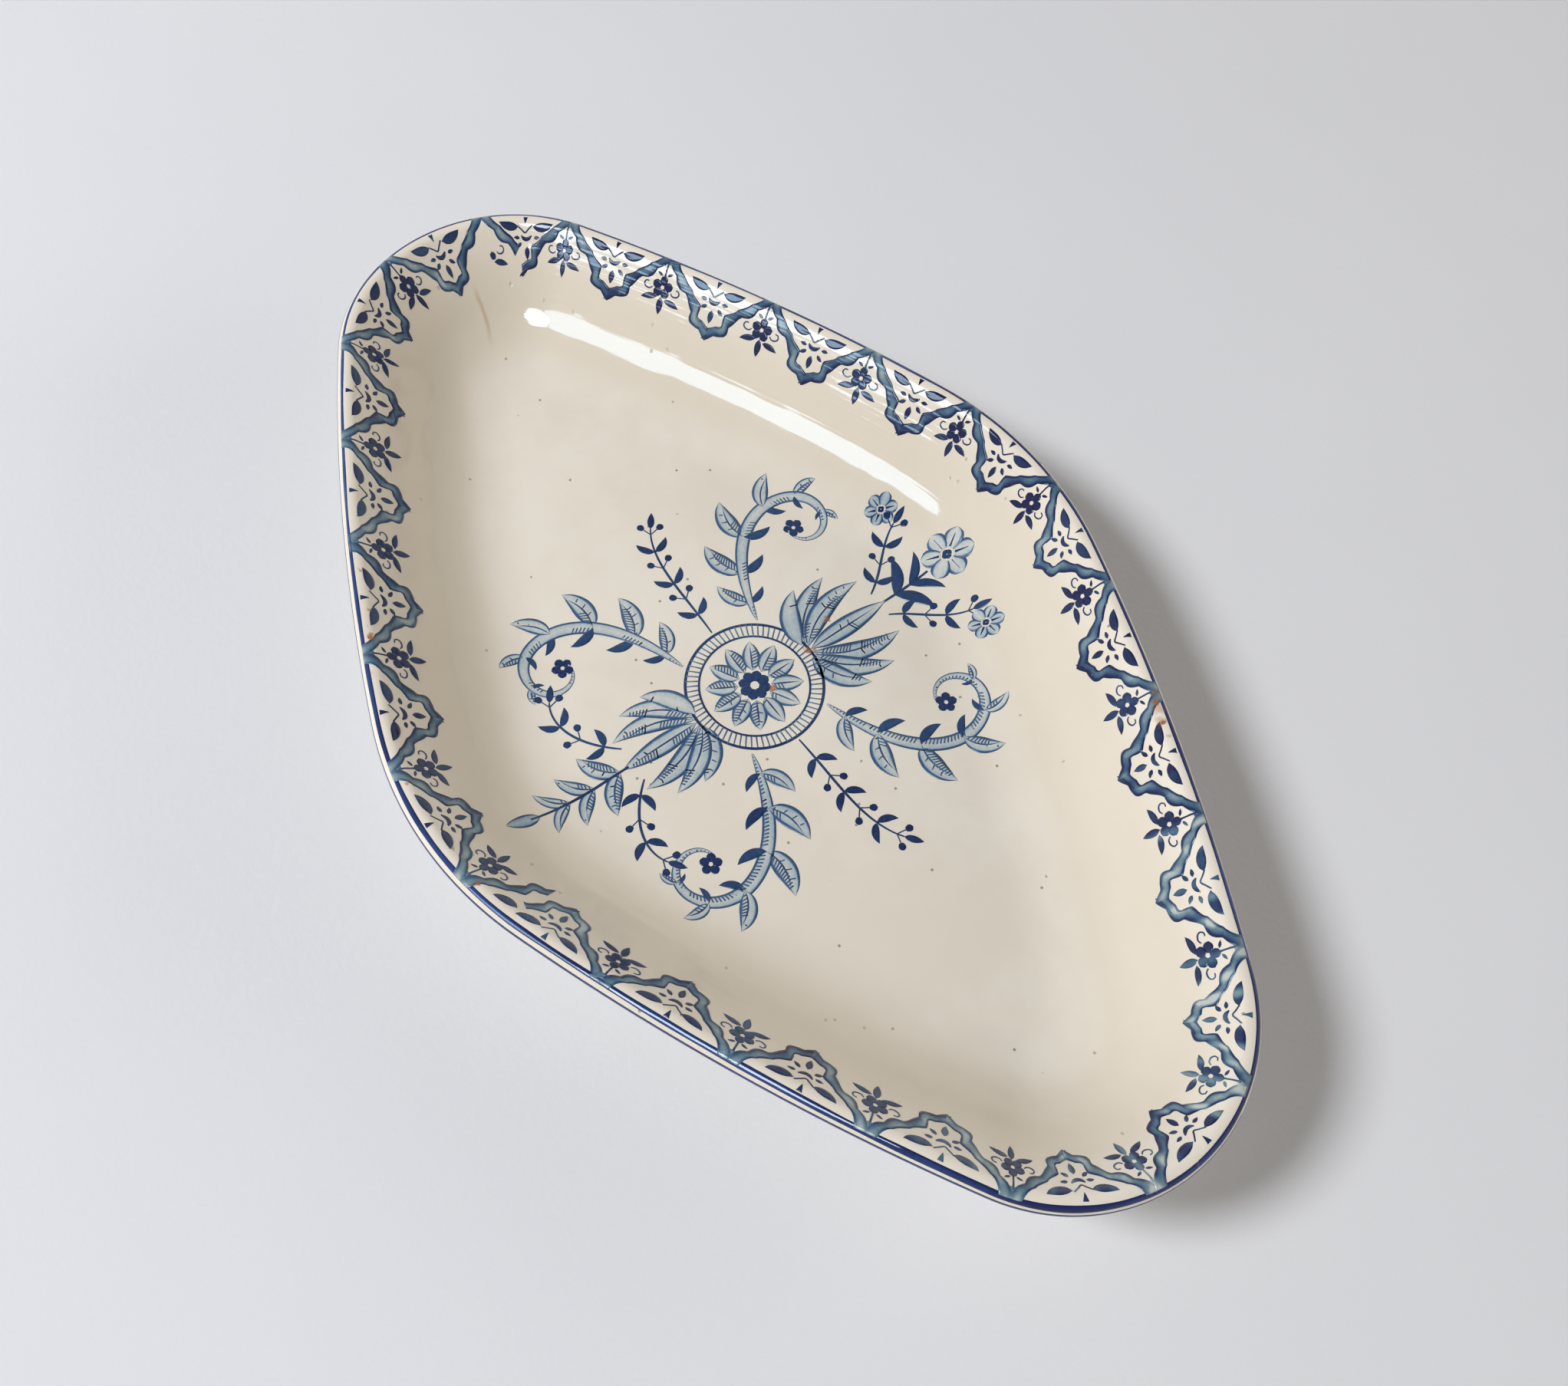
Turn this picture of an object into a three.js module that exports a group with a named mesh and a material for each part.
// Lozenge-shaped earthenware serving dish. A press-moulded clay shell with a rounded lip stands on
// a clay foot ring of the same outline, and a thin clear glaze coats it in three fields: the inside
// up to the widest line of the lip, the outside down to the foot, and the base within the foot.
// Millimetres and degrees. X runs along the long axis, Y along the short one, Z up from the table.
import * as THREE from 'three';

// Overall size of the glazed dish
const LENGTH = 245;
const WIDTH = 145;
const HEIGHT = 30;

// Outline: long shallow flanks run into tight rounds at the ends and wide rounds at the sides. At the
// ends the innermost edge of the section keeps a small round of its own.
const FLANK_RADIUS = 470;
const SIDE_RADIUS = 73;
const INNER_END_RADIUS = 1.3;

// Clay shell
const WALL_THICKNESS = 3.6;
const FLOOR_THICKNESS = 4;
const WALL_SLOPE = 48;
const COVE_RADIUS = 27;
const HEEL_RADIUS = 12;

// Foot ring, set in from the heel
const FOOT_HEIGHT = 4;
const FOOT_WIDTH = 4.5;
const FOOT_SETBACK = 1.2;
const FOOT_CHAMFER = 0.8;

// Glaze, wiped off the foot up to a line just over the standing edge
const GLAZE_THICKNESS = 0.3;
const WIPED_HEIGHT = 1.2;

// Facets along each quarter of the outline and round each curve of the section
const END_STEPS = 6;
const FLANK_STEPS = 5;
const SIDE_STEPS = 5;
const LIP_INNER_STEPS = 6;
const LIP_OUTER_STEPS = 2;
const COVE_STEPS = 5;
const HEEL_STEPS = 4;

// Colours taken from the dish
const CLAY_COLOUR = 0xd8c6a6;
const GLAZE_COLOUR = 0xe6dcc8;
const CLAY_ROUGHNESS = 0.85;
const GLAZE_ROUGHNESS = 0.12;

// The section is drawn in the plane (inset, height): x is the distance in from the dish's widest
// line and y the height over the table. Directions are turned from straight up towards the middle.
const slope = THREE.MathUtils.degToRad(WALL_SLOPE);
const OUTWARD = -Math.PI / 2;

function heading(angle) {
  return new THREE.Vector2(Math.sin(angle), Math.cos(angle));
}

function arc(centre, radius, from, to, steps) {
  const points = [];
  for (let step = 0; step <= steps; step += 1) {
    const angle = from + ((to - from) * step) / steps;
    points.push(heading(angle).multiplyScalar(radius).add(centre));
  }
  return points;
}

const lipRadius = WALL_THICKNESS / 2;
const lipCentre = new THREE.Vector2(lipRadius + GLAZE_THICKNESS, HEIGHT - lipRadius - GLAZE_THICKNESS);
const floorTop = FOOT_HEIGHT + FLOOR_THICKNESS;
const wallNormal = heading(slope);

// Centre of a curve that runs a sloping face of the wall into a level one
function tangentCentre(facePoint, level, radius) {
  const rise = level + radius - facePoint.y;
  const inset = facePoint.x + (radius - rise * wallNormal.y) / wallNormal.x;
  return new THREE.Vector2(inset, level + radius);
}

const innerFace = lipCentre.clone().addScaledVector(wallNormal, lipRadius);
const outerFace = lipCentre.clone().addScaledVector(wallNormal, -lipRadius);
const coveCentre = tangentCentre(innerFace, floorTop, COVE_RADIUS);
const heelCentre = tangentCentre(outerFace, FOOT_HEIGHT, HEEL_RADIUS);
const footOuter = heelCentre.x + FOOT_SETBACK;
const footInner = footOuter + FOOT_WIDTH;

// Inside of the shell from the edge of the floor up to the widest line of the lip
function insideSection(coat) {
  return [
    ...arc(coveCentre, coat - COVE_RADIUS, 0, slope, COVE_STEPS),
    ...arc(lipCentre, lipRadius + coat, slope, OUTWARD, LIP_INNER_STEPS),
  ];
}

// Outside of the shell from the widest line of the lip down to the edge of the base
function outsideSection(coat) {
  return [
    ...arc(lipCentre, lipRadius + coat, OUTWARD, slope - Math.PI, LIP_OUTER_STEPS),
    ...arc(heelCentre, -HEEL_RADIUS - coat, slope, 0, HEEL_STEPS),
  ];
}

// The ends round about points far enough in for the floor's edge and the foot ring's inner edge
const endRadius = INNER_END_RADIUS + Math.max(coveCentre.x, footInner);
const endCentre = new THREE.Vector2(LENGTH / 2 - endRadius, 0);
const sideCentre = new THREE.Vector2(0, WIDTH / 2 - SIDE_RADIUS);

function findFlankCentre() {
  const reachToEnd = FLANK_RADIUS - endRadius;
  const reachToSide = FLANK_RADIUS - SIDE_RADIUS;
  const along = sideCentre.clone().sub(endCentre);
  const span = along.length();
  along.normalize();
  const inwards = new THREE.Vector2(-along.y, along.x);
  const distance = (reachToEnd ** 2 - reachToSide ** 2 + span ** 2) / (2 * span);
  const depth = Math.sqrt(reachToEnd ** 2 - distance ** 2);
  return endCentre.clone().addScaledVector(along, distance).addScaledVector(inwards, depth);
}

// One spoke of the outline: any inset of the dish lies on it, square to the edge
function spokes(centre, radius, from, to, steps) {
  const list = [];
  for (let step = 0; step < steps; step += 1) {
    const angle = from + ((to - from) * step) / steps;
    list.push({ centre, radius, out: new THREE.Vector2(Math.cos(angle), Math.sin(angle)) });
  }
  return list;
}

function mirrored(list, alongX, alongY) {
  const flip = new THREE.Vector2(alongX, alongY);
  return list.map(({ centre, radius, out }) => ({
    centre: centre.clone().multiply(flip),
    radius,
    out: out.clone().multiply(flip),
  }));
}

function outlineSpokes() {
  const flankCentre = findFlankCentre();
  const endTurn = endCentre.clone().sub(flankCentre).angle();
  const sideTurn = sideCentre.clone().sub(flankCentre).angle();
  const quarter = [
    ...spokes(endCentre, endRadius, 0, endTurn, END_STEPS),
    ...spokes(flankCentre, FLANK_RADIUS, endTurn, sideTurn, FLANK_STEPS),
    ...spokes(sideCentre, SIDE_RADIUS, sideTurn, Math.PI / 2, SIDE_STEPS),
  ];
  const side = { centre: sideCentre, radius: SIDE_RADIUS, out: new THREE.Vector2(0, 1) };
  const half = [...quarter, side, ...mirrored(quarter.slice(1), -1, 1).reverse()];
  return [...half, ...mirrored(half, -1, -1)];
}

const OUTLINE = outlineSpokes();

// Sweeps a section round the outline. A section that starts and ends on the floor or the base is
// closed over the middle of the dish, and any other section closes on itself.
function sweep(section, overMiddle) {
  const count = OUTLINE.length;
  const positions = [];
  for (const { x: inset, y: height } of section) {
    for (const { centre, radius, out } of OUTLINE) {
      const point = centre.clone().addScaledVector(out, radius - inset);
      positions.push(point.x, point.y, height);
    }
  }
  const faces = [];
  const strips = overMiddle ? section.length - 1 : section.length;
  for (let strip = 0; strip < strips; strip += 1) {
    const first = strip * count;
    const second = ((strip + 1) % section.length) * count;
    for (let spoke = 0; spoke < count; spoke += 1) {
      const next = (spoke + 1) % count;
      faces.push(first + spoke, second + spoke, second + next);
      faces.push(first + spoke, second + next, first + next);
    }
  }
  if (overMiddle) {
    const last = (section.length - 1) * count;
    const topMiddle = positions.length / 3;
    const bottomMiddle = topMiddle + 1;
    positions.push(0, 0, section[0].y);
    positions.push(0, 0, section[section.length - 1].y);
    for (let spoke = 0; spoke < count; spoke += 1) {
      const next = (spoke + 1) % count;
      faces.push(topMiddle, spoke, next);
      faces.push(last + spoke, bottomMiddle, last + next);
    }
  }
  const geometry = new THREE.BufferGeometry();
  geometry.setAttribute('position', new THREE.Float32BufferAttribute(positions, 3));
  geometry.setIndex(faces);
  geometry.computeVertexNormals();
  return geometry;
}

const clay = new THREE.MeshStandardMaterial({
  color: CLAY_COLOUR,
  roughness: CLAY_ROUGHNESS,
  metalness: 0,
});
const glaze = new THREE.MeshStandardMaterial({
  color: GLAZE_COLOUR,
  roughness: GLAZE_ROUGHNESS,
  metalness: 0,
});

const dish = new THREE.Group();

function addPiece(name, section, overMiddle, material) {
  const mesh = new THREE.Mesh(sweep(section, overMiddle), material);
  mesh.name = name;
  dish.add(mesh);
}

function at(inset, height) {
  return new THREE.Vector2(inset, height);
}

// Pressed clay shell: floor, cove, flaring wall, full-round lip, heel and flat base
addPiece('dish_body', [...insideSection(0), ...outsideSection(0).slice(1)], true, clay);

// Clay foot ring stuck to the flat of the base
const footSection = [
  at(footInner, FOOT_HEIGHT),
  at(footOuter, FOOT_HEIGHT),
  at(footOuter, FOOT_CHAMFER),
  at(footOuter + FOOT_CHAMFER, 0),
  at(footInner - FOOT_CHAMFER, 0),
  at(footInner, FOOT_CHAMFER),
];
addPiece('foot_ring', footSection, false, clay);

// Glaze over the floor, the inside of the wall and the crest of the lip
const insideGlaze = [...insideSection(GLAZE_THICKNESS), ...insideSection(0).reverse()];
addPiece('glaze_inside', insideGlaze, true, glaze);

// Glaze under the lip, down the outside and over the outer face of the foot
const outsideGlaze = [
  ...outsideSection(GLAZE_THICKNESS),
  at(footOuter - GLAZE_THICKNESS, FOOT_HEIGHT - GLAZE_THICKNESS),
  at(footOuter - GLAZE_THICKNESS, WIPED_HEIGHT),
  at(footOuter, WIPED_HEIGHT),
  at(footOuter, FOOT_HEIGHT),
  ...outsideSection(0).reverse(),
];
addPiece('glaze_outside', outsideGlaze, false, glaze);

// Glaze on the base inside the foot ring and on the ring's inner face
const baseGlaze = [
  at(footInner, FOOT_HEIGHT),
  at(footInner, WIPED_HEIGHT),
  at(footInner + GLAZE_THICKNESS, WIPED_HEIGHT),
  at(footInner + GLAZE_THICKNESS, FOOT_HEIGHT - GLAZE_THICKNESS),
];
addPiece('glaze_base', baseGlaze, true, glaze);

export default dish;
